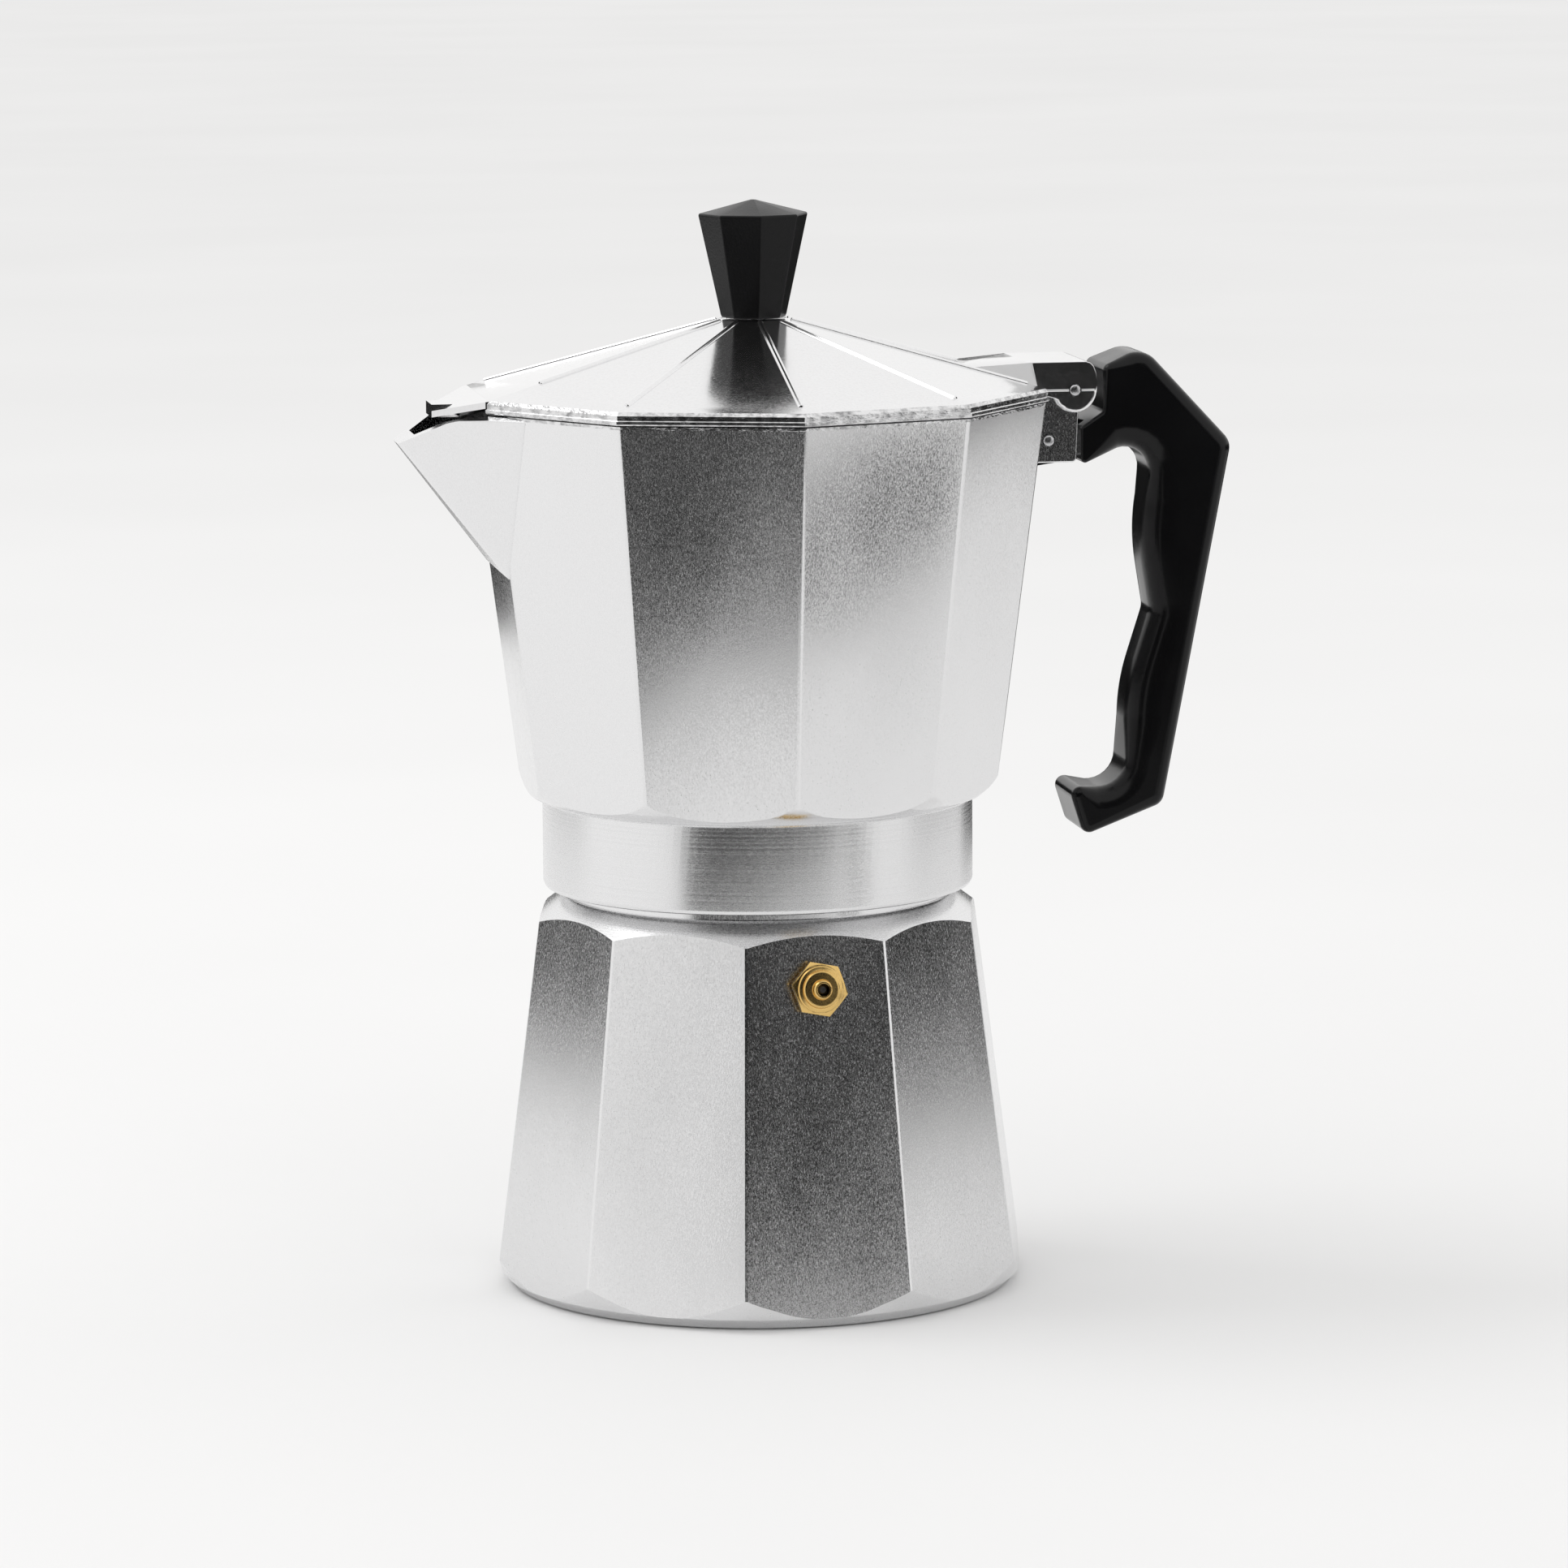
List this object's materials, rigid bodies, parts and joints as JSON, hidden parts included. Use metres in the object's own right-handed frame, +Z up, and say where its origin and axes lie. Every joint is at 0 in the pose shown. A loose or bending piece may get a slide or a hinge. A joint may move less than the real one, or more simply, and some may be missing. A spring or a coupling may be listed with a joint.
{
  "type": "moka pot",
  "caption": "Stovetop coffee maker: faceted boiler with safety valve, funnel, screw-on collector with spout, hinged lid, side handle.",
  "frame": {"origin": "centre of the boiler's flat base, where it stands", "axes": "+Z up along the pot's axis, +X towards the handle, -X towards the spout"},
  "size_m": [0.1586, 0.112, 0.2062],
  "materials": {
    "cast_aluminium": "brushed, satin",
    "sheet_aluminium": "bright",
    "brass": "turned",
    "steel": "plain",
    "black_plastic": "moulded, satin gloss",
    "white_rubber": "matt"
  },
  "bodies": {
    "boiler": {"boiler": "cast_aluminium", "valve_body": "brass", "valve_washer": "brass", "valve_seat": "brass", "valve_spring": "steel"},
    "valve": {"valve_plunger": "steel"},
    "funnel": {"funnel": "sheet_aluminium", "funnel_tube": "sheet_aluminium", "basket_filter": "sheet_aluminium"},
    "seal": {"gasket": "white_rubber", "filter_plate": "sheet_aluminium"},
    "collector": {"collector": "cast_aluminium", "column": "cast_aluminium", "handle": "black_plastic", "handle_pin": "steel", "hinge_pin": "steel"},
    "lid": {"lid": "sheet_aluminium", "knob": "black_plastic", "knob_screw": "steel", "knob_washer": "steel"}
  },
  "joints": [
    {"name": "valve_travel", "type": "slide", "parent": "boiler", "child": "valve", "axis": [0.0968, -0.9875, 0.1241], "range_m": [0, 0.0012], "stiffness_N_per_m": 2000, "springref_m": -0.003, "deforming": ["valve_spring"]},
    {"name": "funnel_lift", "type": "slide", "parent": "boiler", "child": "funnel", "axis": [0, 0, 1], "range_m": [0, 0.085]},
    {"name": "collector_rise", "type": "slide", "parent": "funnel", "child": "seal", "axis": [0, 0, 1], "range_m": [0, 0.0106]},
    {"name": "collector_turn", "type": "hinge", "parent": "seal", "child": "collector", "pos_m": [0, 0, 0.0764], "axis": [0, 0, 1], "range_deg": [0, 1080]},
    {"name": "lid_hinge", "type": "hinge", "parent": "collector", "child": "lid", "pos_m": [0.0595, 0, 0.1699], "axis": [0, 1, 0], "range_deg": [0, 93]}
  ],
  "couplings": [
    {"joint": "collector_rise", "follows": "collector_turn", "m_per_rad": 0.000557}
  ]
}
